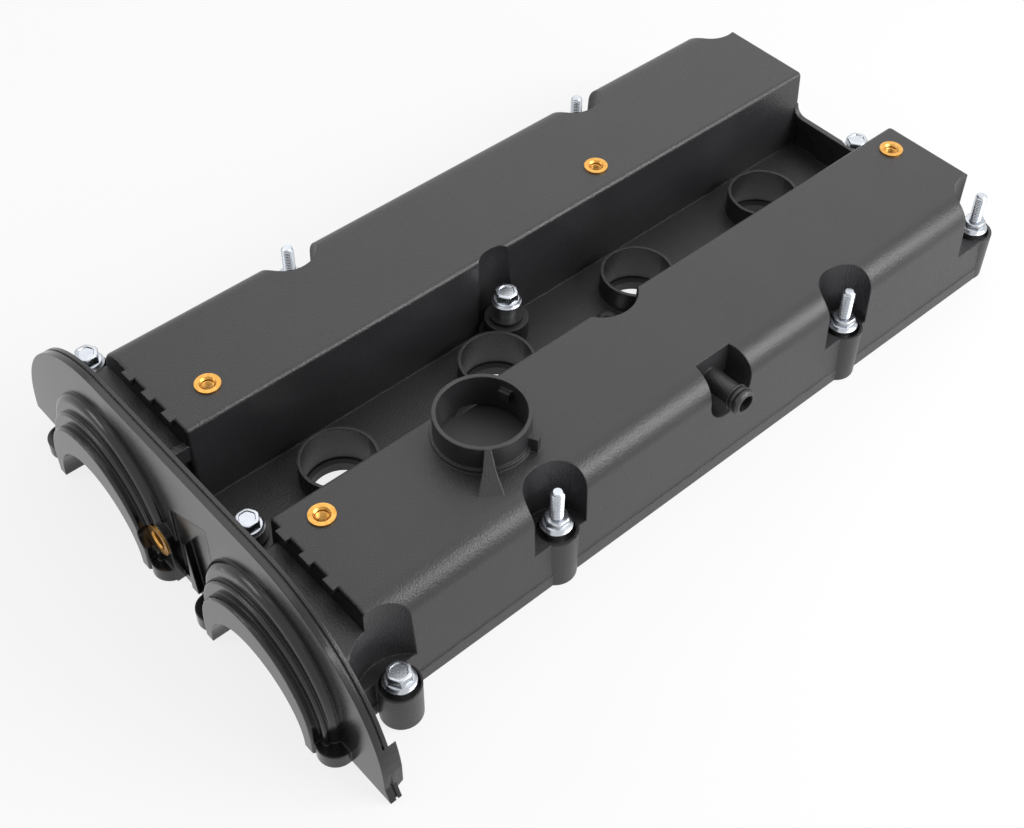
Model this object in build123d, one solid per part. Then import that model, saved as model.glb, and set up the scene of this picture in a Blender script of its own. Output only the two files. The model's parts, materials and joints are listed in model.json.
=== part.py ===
"""Engine valve cover: one plastic moulding for a four-cylinder, twin-cam engine, with its
seals, baffles, threaded inserts and captive fasteners.

Millimetres. X runs along the crankshaft: the timing end is -X and the far end +X.
Y runs across the cover and Z is up. The origin lies on the cylinder head's joint face,
on the centre line, midway between the second and third cylinder.
"""

import os
from math import cos, radians, sqrt, tan

from build123d import *

# Engine layout
cylinder_count = 4
cylinder_pitch = 91.0
cam_offset = 58.5
cover_half_width = 98.0

# Joint with the cylinder head
gasket_stand_out = 0.6
gasket_width = 3.4
gasket_clearance = 0.15
groove_depth = 3.4
groove_wall = 2.4
rail_height = 7.0
gasket_front_x = -203.5
jog_blend = 3.0

# Cam humps
wall = 3.0
hump_front_x = -190.5
hump_rear_x = 193.2
hump_top = 58.5
hump_inner_y = 29.5
valley_half_width = 26.2
hump_side_y = cover_half_width - 2.5
shoulder_radius = 12.0
hump_inner_radius = 2.5
hump_end_radius = 1.6

# Valley between the humps
floor_top = 14.4
floor_thickness = 3.0
rear_wall_top = 33.0
rear_wall_blend = 6.0
rear_arch_radius = 13.2
rear_arch_y = 22.5
rear_arch_depth = 1.5
rear_arch_edge = 25.5
drain_hole_radius = 5.0
drain_hole_x = 20.5
drain_hole_y = -6.0
inner_notch_radius = 17.8
inner_notch_x = -2.0
inner_notch_y = -20.7

# Low front box between the humps and the front plate
shelf_top = 46.5
shelf_inner_y = 32.0
shelf_edge_radius = 3.0
shelf_tab_height = 2.5
shelf_tab_root = 6.0
shelf_tab_thickness = 2.5
shelf_tab_length = 9.5
vent_lug_width = 6.5
vent_lug_height = 3.2
vent_lug_reach = 2.0
vent_lug_pitch = 15.4
vent_lug_count = 3
far_lug_shift = 1.1
near_lug_shift = 3.3

# Front plate
plate_front_x = -213.8
plate_thickness = 3.4
plate_corner_radius = 73.4
plate_corner_z = 7.0
plate_half_width = cover_half_width + 34.5
plate_splay = 3.1
plate_corner_y = plate_half_width - plate_corner_radius - plate_splay
rim_depth = 5.4
rim_width = 3.0
rim_groove_depth = 0.9
rim_groove_width = 1.0
ear_rib_y = plate_half_width - 5.0
ear_rib_thickness = 3.0
ear_rib_top = 47.0
ear_rib_shoulder = 41.0
ear_rib_foot = 4.0
ear_rib_reach = 5.5
far_ear_bottom = 7.5
far_ear_y = cover_half_width + 1.0
arch_pocket_depth = 1.4
arch_pocket_bottom = 5.0
arch_pocket_near_y = -20.0
arch_pocket_far_y = 9.0
arch_pocket_near_top = 60.0
arch_pocket_far_top = 46.0
arch_fin_y = -2.1
arch_fin_foot_y = -5.5
arch_fin_top = 35.7
arch_fin_reach = 2.0
arch_slit_y = 3.0
arch_slit_z = 15.5
arch_slit_length = 12.0
arch_slit_width = 1.6
arch_slit_angle = 48.0

# Camshaft arches on the front plate
arch_opening_radius = 32.0
arch_opening_z = 1.0
arch_hood_radius = 43.0
arch_hood_z = 20.0
arch_hood_reach = 3.6
arch_hood_blend = 3.2
arch_step_radius = 41.5
arch_step_z = 12.5
arch_step_reach = 5.8
arch_lip_radius = 37.5
arch_lip_z = 10.5
arch_reach = 9.5
arch_bead = 1.2
arch_foot_offset = 41.5
arch_foot_radius = 8.2
arch_foot_height = 7.0
far_foot_lift = 5.4

# Spark plug tubes and their seals
tube_radius = 18.2
tube_wall = 1.6
tube_top = 26.7
tube_bottom = 2.6
seal_clearance = 0.1
seal_bore = tube_radius - 3.2
seal_foot_radius = tube_radius + 1.0
seal_foot_height = 1.8
seal_height = 7.0
seal_lip_height = 4.8
seal_lead = 0.8

# Threaded fasteners
thread_radius = 3.0
hex_across_flats = 10.0
bolt_head_height = 6.6
flange_radius = 7.15
flange_thickness = 1.2
long_bolt_shank = 25.5
middle_bolt_shank = 34.0
tall_bolt_shank = 41.5
short_bolt_shank = 22.0
stud_shank = 27.8
stud_hex_height = 5.2
stud_above_flange = 21.0
tip_chamfer = 0.7

# Compression sleeves and rubber grommets under the fasteners
sleeve_radius = 4.4
sleeve_clearance = 0.35
grommet_radius = 6.6
grommet_clearance = 0.1
grommet_bead_radius = 8.0
grommet_bead_height = 1.8
grommet_tail = 10.0
grommet_grip = 0.05
grommet_recess = 5.5
grommet_recess_clearance = 0.3

# Side bosses, each in an upright recess of the side wall
side_boss_radius = 9.9
side_boss_top = 28.0
side_recess_radius = 14.7
rear_boss_top = 26.0
rear_recess_radius = 15.6
recess_y = cover_half_width - 4.0
front_recess_x = -94.0
middle_recess_x = 87.0
rear_recess_x = hump_rear_x - 4.7
stud_y = cover_half_width - 7.0
rear_stud_x = hump_rear_x + 2.6
rear_stud_y = cover_half_width - 9.7

# Corner bosses beside the front box
corner_boss_radius = 9.2
near_corner_x = -185.0
near_corner_y = cover_half_width + 5.0
near_corner_top = 20.5
near_corner_recess_x = -187.3
near_corner_recess_y = cover_half_width + 12.6
near_corner_recess_radius = 20.9
far_corner_x = -194.4
far_corner_y = cover_half_width + 7.0
far_corner_top = 38.0
far_corner_recess_radius = 9.6
far_corner_web_half = 3.0

# Bosses in the valley
valley_boss_radius = 10.7
middle_bolt_x = -22.5
middle_bolt_y = 19.5
middle_recess_radius = 13.2
middle_boss_top = 25.0
front_bolt_x = -187.6
front_bolt_y = -5.4
front_boss_top = 20.0
rear_bolt_x = hump_rear_x + 7.0
rear_bolt_y = -8.0
rear_bolt_boss_top = 22.0
rear_web_half = 7.0

# Fasteners outside the gasket: x, y, boss radius, boss top, flange seat, length below the flange
outer_places = {
    "near_front": (-91.6, -stud_y, side_boss_radius, side_boss_top, 31.0, stud_shank),
    "near_middle": (91.5, -stud_y, side_boss_radius, side_boss_top, 29.5, stud_shank),
    "near_rear": (rear_stud_x, -rear_stud_y, side_boss_radius, rear_boss_top, 28.0, stud_shank),
    "far_front": (-94.5, stud_y, side_boss_radius, side_boss_top, 41.0, stud_shank),
    "far_middle": (88.0, stud_y, side_boss_radius, side_boss_top, 37.5, stud_shank),
    "far_rear": (rear_stud_x, rear_stud_y, side_boss_radius, rear_boss_top, 27.0, long_bolt_shank),
    "near_corner": (near_corner_x, -near_corner_y, corner_boss_radius, near_corner_top, 22.5, short_bolt_shank),
    "far_corner": (far_corner_x, far_corner_y, corner_boss_radius, far_corner_top, 42.4, tall_bolt_shank),
}

# Fasteners in the valley, in the same order of values
valley_places = {
    "valley_front": (front_bolt_x, front_bolt_y, valley_boss_radius, front_boss_top, 26.0, long_bolt_shank),
    "valley_middle": (middle_bolt_x, middle_bolt_y, valley_boss_radius, middle_boss_top, 35.0, middle_bolt_shank),
    "valley_rear": (rear_bolt_x, rear_bolt_y, valley_boss_radius, rear_bolt_boss_top, 27.0, long_bolt_shank),
}

# Threaded inserts
insert_flange_radius = 5.8
insert_flange_height = 0.8
insert_radius = 4.6
insert_bore = 3.0
insert_length = 10.0
insert_boss_wall = 2.6
insert_clearance = 0.05
insert_seat_clearance = 0.5
top_inserts = {
    "far_front": (-168.5, 46.0),
    "far_rear": (57.0, 44.0),
    "near_front": (-174.0, -42.5),
    "near_rear": (178.5, -42.5),
}
front_insert_flange_radius = 7.6
front_insert_radius = 6.0
front_insert_bore = 4.0
front_insert_y = 17.0
front_insert_z = 21.5
front_insert_boss_reach = 3.8
front_insert_flange_height = 0.8
front_insert_length = 7.0

# Oil filler neck
filler_x = -98.0
filler_y = -cam_offset + 7.3
filler_radius = 20.9
filler_wall = 1.8
filler_height = 13.8
filler_base_width = 1.2
filler_base_height = 2.0
filler_lug_width = 3.5
filler_lug_height = 7.5
filler_lug_reach = 4.2
filler_lug_angle = -62.0
filler_ramp_angle = -124.4
filler_ramp_top_half = 1.4
filler_ramp_shoulder = 6.1
filler_ramp_shoulder_height = 7.5
filler_ramp_shoulder_half = 2.8
filler_ramp_length = 13.1
filler_ramp_foot_half = 5.6
filler_tab_angle = 17.0
filler_tab_reach = 2.6
filler_tab_width = 5.5
filler_tab_bottom = 4.5
filler_tab_top = 9.5

# Breather nozzle in its pocket on the near shoulder
nozzle_x = 7.3
nozzle_z = 45.0
nozzle_drop = 0.5
nozzle_pocket_half = 10.5
nozzle_pocket_y = -cover_half_width + 15.7
nozzle_pocket_draft = 9.2
nozzle_tip_y = -cover_half_width - 6.7
nozzle_radius = 5.2
nozzle_collar_radius = 6.3
nozzle_collar_length = 6.5
nozzle_rib_count = 2
nozzle_rib_pitch = 2.4
nozzle_rib_gap = 0.9
nozzle_bore = 4.2

# Oil baffles inside the humps
baffle_thickness = 1.8
baffle_z = 51.0
baffle_margin = 1.2
baffle_end_gap = 28.0
baffle_rim_height = 5.0
baffle_rim_thickness = 1.6
baffle_slot_width = 5.0
baffle_slot_length = 24.0
baffle_slot_count = 4
baffle_slot_offset = 15.0
baffle_post_radius = 4.0
baffle_post_count = 4
baffle_post_pitch = 100.0
screw_head_radius = 3.4
screw_head_height = 2.0
screw_radius = 1.5
screw_length = 5.0
screw_clearance = 0.1

# Ribs under the valley floor
rib_thickness = 2.4
rib_depth = 7.0

joint_z = gasket_stand_out
groove_half = gasket_width / 2 + gasket_clearance
side_draft = (cover_half_width - hump_side_y) / hump_top
inner_draft = (hump_inner_y - valley_half_width) / hump_top
rail_half_width = hump_side_y + side_draft * (hump_top - joint_z)
plate_back_x = plate_front_x + plate_thickness
plate_middle_x = plate_front_x + plate_thickness / 2
bore_radius = grommet_radius + grommet_clearance
bolt_jog_radius = bore_radius + groove_wall + groove_half
tube_xs = [(i - (cylinder_count - 1) / 2) * cylinder_pitch for i in range(cylinder_count)]
hex_flat_half = hex_across_flats / 2
hex_corner = hex_flat_half / cos(radians(30))


def block(x0, x1, y0, y1, z0, z1):
    """A box between two corners."""
    return Pos((x0 + x1) / 2, (y0 + y1) / 2, (z0 + z1) / 2) * Box(x1 - x0, y1 - y0, z1 - z0)


def post(x, y, radius, z0, z1):
    """An upright round bar."""
    return Pos(x, y, (z0 + z1) / 2) * Cylinder(radius, z1 - z0)


def along_x(sketch, x0, x1):
    """A sketch drawn as (y, z), carried from x0 to x1."""
    plane = Plane(origin=(x0, 0, 0), x_dir=(0, 1, 0), z_dir=(1, 0, 0))
    return extrude(plane * sketch, x1 - x0)


def upright(sketch, z0, z1):
    """A sketch drawn as (x, y), carried from z0 to z1."""
    return extrude(Pos(0, 0, z0) * sketch, z1 - z0)


def turned(points, x, y):
    """A ring with the given (radius, z) section, about an upright axis."""
    section = make_face(Polyline(*[(r, 0, z) for r, z in points], close=True))
    return Pos(x, y, 0) * revolve(section, Axis.Z)


def mirrored(solid):
    return mirror(solid, Plane.XZ)


def hump_section(inset, bottom):
    """The far hump's section across the cover; inset moves its walls and roof inward."""
    top = hump_top - inset
    inner_top = hump_inner_y + inset - inner_draft * inset
    outer_top = hump_side_y - inset + side_draft * inset
    rise = top - bottom
    corners = [
        (inner_top - inner_draft * rise, bottom),
        (outer_top + side_draft * rise, bottom),
        (outer_top, top),
        (inner_top, top),
    ]
    face = make_face(Polyline(*corners, close=True))
    tops = face.vertices().sort_by(Axis.Y)[-2:]
    tops = sorted(tops, key=lambda vertex: vertex.X)
    face = fillet(tops[1], shoulder_radius - inset)
    inner = sorted(face.vertices(), key=lambda vertex: (vertex.X - inner_top) ** 2 + (vertex.Y - top) ** 2)[0]
    return fillet(inner, max(hump_inner_radius - inset, 0.4))


def hump_block(inset):
    """The far hump as a plain block; the outside one has its end edges rounded."""
    body = along_x(hump_section(inset, joint_z - inset), hump_front_x + inset, hump_rear_x - inset)
    if inset:
        return body
    upper = [edge for edge in body.edges() if edge.center().Z > floor_top]
    ends = [edge for edge in upper if edge.bounding_box().size.X < 0.01]
    return fillet(ends, hump_end_radius)


def shelf_block(inset):
    """The low box in front of the far hump, running back into it and forward to the plate."""
    top = shelf_top - inset
    inner = shelf_inner_y + inset
    outer = hump_side_y + side_draft * (hump_top - top) - inset
    drop = top - joint_z + inset
    corners = [
        (inner, joint_z - inset),
        (outer + side_draft * drop, joint_z - inset),
        (outer, top),
        (inner, top),
    ]
    face = make_face(Polyline(*corners, close=True))
    tops = [vertex for vertex in face.vertices() if vertex.Y > top - 1]
    face = fillet(tops, max(shelf_edge_radius - inset, 0.4))
    front = plate_back_x + inset if inset else plate_middle_x
    return along_x(face, front, hump_front_x + 2 * wall)


def side_recesses(corner, grow):
    """The upright recesses over one side's bosses, made on the far side; grow adds the wall behind."""
    places = [
        (front_recess_x, recess_y, side_recess_radius, side_boss_top),
        (middle_recess_x, recess_y, side_recess_radius, side_boss_top),
        (rear_recess_x, recess_y, rear_recess_radius, rear_boss_top),
        corner,
    ]
    return [post(x, y, radius + grow, ledge - grow, hump_top + wall) for x, y, radius, ledge in places]


def cam_side(corner, notch_x, notch_y, notch_radius):
    """One cam's half of the shell, made on the far side, with its notch beside the valley."""
    outside = hump_block(0) + shelf_block(0)
    inside = hump_block(wall) + shelf_block(wall)
    for recess in side_recesses(corner, 0):
        outside -= recess
    for backing in side_recesses(corner, wall):
        inside -= backing
    outside -= post(notch_x, notch_y, notch_radius, floor_top, hump_top + wall)
    inside -= post(notch_x, notch_y, notch_radius + wall, floor_top - floor_thickness, hump_top + wall)
    return outside, inside


def vent_lugs(shift):
    """The small lugs along the top front edge of the far hump."""
    lugs = []
    for i in range(vent_lug_count):
        y = cam_offset + (i - (vent_lug_count - 1) / 2) * vent_lug_pitch - shift
        half = vent_lug_width / 2
        front = hump_front_x - vent_lug_reach
        lugs.append(block(front, hump_front_x + wall, y - half, y + half, hump_top - vent_lug_height, hump_top))
    return lugs


def shelf_tab():
    """The thin upright tab at the inner edge of the far shelf, against the hump's front."""
    y = shelf_inner_y + shelf_edge_radius / 2
    return block(
        hump_front_x - shelf_tab_length,
        hump_front_x + wall / 2,
        y - shelf_tab_thickness - shelf_edge_radius / 2,
        y,
        shelf_top - shelf_tab_root,
        shelf_top + shelf_tab_height,
    )


def gasket_line():
    """The area inside the middle line of the gasket groove, stepping in round each bolt."""
    reach = cover_half_width - groove_wall - groove_half
    rear = hump_rear_x - groove_wall - groove_half
    area = Pos((gasket_front_x + rear) / 2, 0) * Rectangle(rear - gasket_front_x, 2 * reach)
    for x, y, *_ in outer_places.values():
        area -= Pos(x, y) * Circle(bolt_jog_radius)
    corners = [v for v in area.vertices() if v.X > gasket_front_x + 1]
    return fillet(corners, jog_blend)


def ring_between(area, outward, inward):
    """The band between two offsets of an area's edge."""
    return offset(area, outward, kind=Kind.ARC) - offset(area, -inward, kind=Kind.ARC)


def rail():
    """The thick edge that holds the gasket, filled out to the side walls."""
    front = plate_middle_x
    plan = Pos((front + hump_rear_x) / 2, 0) * Rectangle(hump_rear_x - front, 2 * rail_half_width)
    plan -= offset(gasket_line(), -(groove_half + groove_wall), kind=Kind.ARC)
    return upright(plan, joint_z, joint_z + rail_height)


def groove():
    return upright(ring_between(gasket_line(), groove_half, groove_half), 0, joint_z + groove_depth)


def make_gasket():
    """The rubber cord in the rail's groove, standing a little proud of the joint face."""
    half = gasket_width / 2
    return upright(ring_between(gasket_line(), half, half), 0, joint_z + groove_depth)


def plate_outline(inset, bottom):
    """The front plate's outline as (y, z): flat top, big round corners, feet splayed a little."""
    radius = plate_corner_radius - inset
    top = plate_corner_z + radius
    side = plate_corner_y + radius
    edge = plate_half_width - inset
    right = [
        Line((0, top), (plate_corner_y, top)),
        CenterArc((plate_corner_y, plate_corner_z), radius, 0, 90),
        Line((side, plate_corner_z), (edge, joint_z)),
    ]
    if bottom < joint_z:
        right.append(Line((edge, joint_z), (edge, bottom)))
    right.append(Line((edge, bottom), (0, bottom)))
    half = make_face(Wire(edges=[e for curve in right for e in curve.edges()] + [Line((0, bottom), (0, top)).edge()]))
    return half + mirror(half, Plane.YZ)


def front_plate():
    """The tall plate across the timing end, with a grooved rim turned back at its edge."""
    sheet = along_x(plate_outline(0, joint_z), plate_front_x, plate_back_x)
    band = plate_outline(0, joint_z) - plate_outline(rim_width, joint_z - wall)
    rim = along_x(band, plate_front_x, plate_front_x + rim_depth)
    line = plate_outline(0, joint_z) - plate_outline(rim_groove_depth, joint_z - wall)
    groove_x = plate_front_x + rim_depth / 2
    cut = along_x(line, groove_x, groove_x + rim_groove_width)
    plate = sheet + rim - cut
    for side in (-1, 1):
        y = side * ear_rib_y
        rib = Plane.XZ.offset(-y - ear_rib_thickness / 2) * Polyline(
            (plate_middle_x, joint_z),
            (plate_back_x, joint_z),
            (plate_back_x + ear_rib_reach, ear_rib_foot),
            (plate_back_x + ear_rib_reach, ear_rib_shoulder),
            (plate_back_x, ear_rib_top),
            (plate_middle_x, ear_rib_top),
            close=True,
        )
        plate += extrude(make_face(rib), ear_rib_thickness)
    far_edge = plate_half_width + rim_width
    rear = plate_back_x + 2 * ear_rib_reach
    plate -= block(plate_front_x - wall, rear, far_ear_y, far_edge, 0, far_ear_bottom)
    return plate - between_arches()


def between_arches():
    """The shallow pocket in the plate's face between the arches, less the fin that stands in it."""
    pocket = make_face(
        Polyline(
            (arch_pocket_near_y, arch_pocket_bottom),
            (arch_pocket_far_y, arch_pocket_bottom),
            (arch_pocket_far_y, arch_pocket_far_top),
            (arch_pocket_near_y, arch_pocket_near_top),
            close=True,
        )
    )
    slit = Pos(arch_slit_y, arch_slit_z) * Rot(0, 0, arch_slit_angle) * SlotOverall(arch_slit_length, arch_slit_width)
    cut = along_x(pocket, plate_front_x - wall, plate_front_x + arch_pocket_depth)
    return cut + along_x(slit, plate_front_x, plate_back_x + wall)


def arch_fin():
    """The thin upright fin between the arches, wider at its foot."""
    fin = make_face(
        Polyline(
            (arch_fin_foot_y, arch_pocket_bottom - 1),
            (arch_fin_y + arch_pocket_depth, arch_pocket_bottom - 1),
            (arch_fin_y, arch_fin_top),
            close=True,
        )
    )
    return along_x(fin, plate_front_x - arch_fin_reach, plate_middle_x)


def arch_shape(y, z, radius):
    """A round top with straight sides down to the joint face, as (y, z)."""
    foot = Pos(y, (z + joint_z) / 2) * Rectangle(2 * radius, z - joint_z)
    disc = Pos(y, z) * Circle(radius)
    below = Pos(y, joint_z - radius) * Rectangle(4 * radius, 2 * radius)
    return disc + foot - below


def arch_steps(y):
    """The stepped collar over one camshaft, in front of the plate, with its two feet."""
    hood = along_x(arch_shape(y, arch_hood_z, arch_hood_radius), plate_front_x - arch_hood_reach, plate_middle_x)
    step = along_x(arch_shape(y, arch_step_z, arch_step_radius), plate_front_x - arch_step_reach, plate_middle_x)
    lip = along_x(arch_shape(y, arch_lip_z, arch_lip_radius), plate_front_x - arch_reach, plate_middle_x)
    hood = fillet(front_edges(hood), arch_hood_blend)
    step = fillet(front_edges(step), arch_bead)
    lip = fillet(front_edges(lip), arch_bead)
    collar = hood + step + lip
    radius = arch_foot_radius
    nose_x = plate_front_x - arch_reach + radius
    for side in (-1, 1):
        foot_y = y + side * arch_foot_offset
        bottom = joint_z + (far_foot_lift if foot_y > cam_offset + radius else 0)
        top = bottom + arch_foot_height
        collar += post(nose_x, foot_y, radius, bottom, top)
        collar += block(nose_x, plate_middle_x, foot_y - radius, foot_y + radius, bottom, top)
    return collar


def front_edges(solid):
    """The edges round the foremost face, apart from the one on the joint face."""
    face = solid.faces().sort_by(Axis.X)[0]
    return [edge for edge in face.edges() if edge.center().Z > joint_z + 0.1]


def arch_openings():
    """The half-round openings under the arches, through the plate."""
    return [
        along_x(Pos(y, arch_opening_z) * Circle(arch_opening_radius), plate_front_x - 2 * arch_reach, plate_back_x)
        for y in (-cam_offset, cam_offset)
    ]


def front_insert_boss():
    """The upright pad between the arches that carries the front insert."""
    radius = front_insert_radius + insert_boss_wall
    shape = arch_shape(front_insert_y, front_insert_z, radius)
    return along_x(shape, plate_front_x - front_insert_boss_reach, plate_middle_x)


def nozzle_pocket(grow):
    """The pocket in the near shoulder round the breather nozzle, opening outward and upward."""
    half = nozzle_pocket_half + grow
    back = nozzle_pocket_y + grow
    front = -cover_half_width - wall
    rise = hump_top + 2 * wall - nozzle_z
    shape = Pos(nozzle_x, nozzle_z) * Circle(half)
    shape += Pos(nozzle_x, nozzle_z + rise / 2) * Rectangle(2 * half, rise)
    return extrude(Plane.XZ.offset(-back) * shape, back - front, taper=-nozzle_pocket_draft)


def nozzle_solids():
    """The breather nozzle with its ribbed collar, and its bore."""
    root = Vector(nozzle_x, nozzle_pocket_y + wall / 2, nozzle_z - nozzle_drop)
    tip = Vector(nozzle_x, nozzle_tip_y, nozzle_z)
    length = (tip - root).length
    plane = Plane(origin=root, x_dir=(1, 0, 0), z_dir=tip - root)
    pipe = Pos(0, 0, length / 2) * Cylinder(nozzle_radius, length)
    start = length - nozzle_collar_length
    collar = Pos(0, 0, start + nozzle_collar_length / 2) * Cylinder(nozzle_collar_radius, nozzle_collar_length)
    collar = chamfer(collar.edges().group_by(Axis.Z)[-1], nozzle_collar_radius - nozzle_radius)
    ring = Cylinder(nozzle_collar_radius + wall, nozzle_rib_gap) - Cylinder(nozzle_radius, nozzle_rib_gap)
    for i in range(nozzle_rib_count):
        collar -= Pos(0, 0, start + nozzle_rib_pitch / 2 + i * nozzle_rib_pitch) * ring
    bore = Pos(0, 0, length / 2) * Cylinder(nozzle_bore, length + 4 * wall)
    return plane * (pipe + collar), plane * bore


def filler_neck():
    """The oil filler neck with its base ring, outer lug and the wedge that runs down from its rim."""
    at_neck = Pos(filler_x, filler_y, 0)
    top = hump_top + filler_height
    base = hump_top - wall / 2
    base_radius = filler_radius + filler_base_width
    neck = post(filler_x, filler_y, filler_radius, hump_top - wall, top)
    neck += post(filler_x, filler_y, base_radius, base, hump_top + filler_base_height)
    inside = filler_radius - filler_wall / 2
    half = filler_lug_width / 2
    lug = block(inside, filler_radius + filler_lug_reach, -half, half, base, hump_top + filler_lug_height)
    neck += at_neck * Rot(0, 0, filler_lug_angle) * lug
    shoulder = filler_radius + filler_ramp_shoulder
    foot = filler_radius + filler_ramp_length
    profile = make_face(
        Polyline(
            (inside, 0, base),
            (foot, 0, base),
            (foot, 0, hump_top),
            (shoulder, 0, hump_top + filler_ramp_shoulder_height),
            (filler_radius, 0, top),
            (inside, 0, top),
            close=True,
        )
    )
    plan = make_face(
        Polyline(
            (inside, -filler_ramp_top_half),
            (filler_radius, -filler_ramp_top_half),
            (shoulder, -filler_ramp_shoulder_half),
            (foot, -filler_ramp_foot_half),
            (foot, filler_ramp_foot_half),
            (shoulder, filler_ramp_shoulder_half),
            (filler_radius, filler_ramp_top_half),
            (inside, filler_ramp_top_half),
            close=True,
        )
    )
    wedge = extrude(profile, 2 * filler_ramp_foot_half, both=True) & upright(plan, base - wall, top + wall)
    return neck + at_neck * Rot(0, 0, filler_ramp_angle) * wedge


def filler_tab():
    """The tab inside the filler neck that the cap turns under."""
    inner = filler_radius - filler_wall
    half = filler_tab_width / 2
    tab = block(
        inner - filler_tab_reach,
        inner + filler_wall / 2,
        -half,
        half,
        hump_top + filler_tab_bottom,
        hump_top + filler_tab_top,
    )
    return Pos(filler_x, filler_y, 0) * Rot(0, 0, filler_tab_angle) * tab


def rear_wall():
    """The low wall that closes the valley's far end, curving up into the humps."""
    back = hump_rear_x
    front = hump_rear_x - wall
    half = hump_inner_y + wall
    shape = Pos(0, (joint_z + rear_wall_top) / 2) * Rectangle(2 * half, rear_wall_top - joint_z)
    blend_z = rear_wall_top + rear_wall_blend
    hump_y = hump_inner_y - inner_draft * (hump_top - blend_z)
    corner_y = hump_y - rear_wall_blend
    corner = Pos((corner_y + half) / 2, blend_z - rear_wall_blend / 2) * Rectangle(half - corner_y, rear_wall_blend)
    corner -= Pos(corner_y, blend_z) * Circle(rear_wall_blend)
    shape += corner + mirror(corner, Plane.YZ)
    arch = Pos(rear_arch_y, floor_top) * Circle(rear_arch_radius)
    arch &= Pos(rear_arch_edge / 2, floor_top + rear_arch_radius) * Rectangle(rear_arch_edge, 2 * rear_arch_radius)
    return along_x(shape, front, back) - along_x(arch, front - wall, front + rear_arch_depth)


def make_cover():
    """The whole moulding, from outside minus inside, then bosses, tubes, rail and plate."""
    far_corner = (far_corner_x, far_corner_y, far_corner_recess_radius, far_corner_top)
    near_corner = (near_corner_recess_x, near_corner_recess_y, near_corner_recess_radius, near_corner_top)
    outside, inside = cam_side(far_corner, middle_bolt_x, middle_bolt_y, middle_recess_radius)
    near_out, near_in = cam_side(near_corner, inner_notch_x, -inner_notch_y, inner_notch_radius)
    near_out = mirrored(near_out) - nozzle_pocket(0)
    near_in = mirrored(near_in) - nozzle_pocket(wall)
    outside += near_out
    inside += near_in
    half = hump_inner_y
    outside += block(plate_middle_x, hump_rear_x, -half, half, joint_z, floor_top)
    outside += rear_wall()
    inside += block(plate_back_x + wall, hump_rear_x - wall, -half, half, 0, floor_top - floor_thickness)
    cover = outside - inside
    cover += rail()
    cover += front_plate()
    cover += arch_fin()
    for y in (-cam_offset, cam_offset):
        cover += arch_steps(y)
    for opening in arch_openings():
        cover -= opening
    cover += front_insert_boss()
    for x, y, radius, top, _, _ in [*outer_places.values(), *valley_places.values()]:
        cover += post(x, y, radius, joint_z, top)
    web = rear_web_half
    cover += block(hump_rear_x - wall, rear_bolt_x, rear_bolt_y - web, rear_bolt_y + web, joint_z, rear_bolt_boss_top)
    web = far_corner_web_half
    cover += block(far_corner_x - web, far_corner_x + web, hump_side_y - wall / 2, far_corner_y, joint_z, far_corner_top)
    for lug in vent_lugs(far_lug_shift):
        cover += lug
    for lug in vent_lugs(near_lug_shift):
        cover += mirrored(lug)
    cover += shelf_tab()
    for rib in floor_ribs():
        cover += rib
    for x, y in baffle_screw_places():
        for side in (-1, 1):
            cover += post(x, side * y, baffle_post_radius, baffle_z + baffle_thickness, hump_top - wall / 2)
    cover += filler_neck()
    for x in tube_xs:
        cover += post(x, 0, tube_radius, tube_bottom, tube_top)
    pipe, bore = nozzle_solids()
    cover += pipe
    for x, y in top_inserts.values():
        cover += post(x, y, insert_radius + insert_boss_wall, hump_top - insert_length - wall, hump_top - wall / 2)
    cover -= groove()
    cover -= bore
    neck_inside = filler_radius - filler_wall
    cover -= post(filler_x, filler_y, neck_inside, hump_top - 2 * wall, hump_top + filler_height + wall)
    cover += filler_tab()
    cover -= post(drain_hole_x, drain_hole_y, drain_hole_radius, 0, floor_top + wall)
    for x in tube_xs:
        cover -= post(x, 0, tube_radius - tube_wall, 0, tube_top + wall)
    for x, y, *_ in [*outer_places.values(), *valley_places.values()]:
        cover -= post(x, y, bore_radius, 0, hump_top)
    for x, y, _, top, _, _ in outer_places.values():
        cover -= post(x, y, grommet_bead_radius + grommet_recess_clearance, top - grommet_recess, top + wall)
    notch_radius = grommet_bead_radius + grommet_recess_clearance
    cover -= post(rear_bolt_x, rear_bolt_y, notch_radius, rear_bolt_boss_top, hump_top)
    for x, y in top_inserts.values():
        cover -= post(x, y, insert_radius + insert_clearance, hump_top - insert_length, hump_top + wall)
    for x, y in baffle_screw_places():
        for side in (-1, 1):
            cover -= post(x, side * y, screw_radius + insert_clearance, 0, baffle_z + screw_length + 0.2)
    front = Pos(front_insert_y, front_insert_z) * Circle(front_insert_radius + insert_clearance)
    front_end = plate_front_x - front_insert_boss_reach
    cover -= along_x(front, front_end - wall, front_end + front_insert_length)
    seat = Pos(front_insert_y, front_insert_z) * Circle(front_insert_flange_radius + insert_seat_clearance)
    cover -= along_x(seat, plate_front_x - 2 * arch_reach, front_end)
    return cover


def floor_ribs():
    """Ribs under the valley floor: one along the middle and one across at each tube."""
    top = floor_top - floor_thickness / 2
    bottom = floor_top - floor_thickness - rib_depth
    half = rib_thickness / 2
    ribs = [block(plate_back_x + wall, hump_rear_x - wall, -half, half, bottom, top)]
    for x in tube_xs:
        ribs.append(block(x - half, x + half, -hump_inner_y, hump_inner_y, bottom, top))
    return ribs


def make_seal(x):
    """The rubber ring in the foot of a plug tube, with its lip below."""
    outer = tube_radius - tube_wall - seal_clearance
    foot = seal_foot_height
    return turned(
        [
            (seal_bore, 0),
            (seal_foot_radius, 0),
            (seal_foot_radius, foot),
            (outer, foot),
            (outer, seal_height),
            (seal_bore + seal_lead, seal_height),
            (seal_bore, seal_lip_height),
        ],
        x,
        0,
    )


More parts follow.
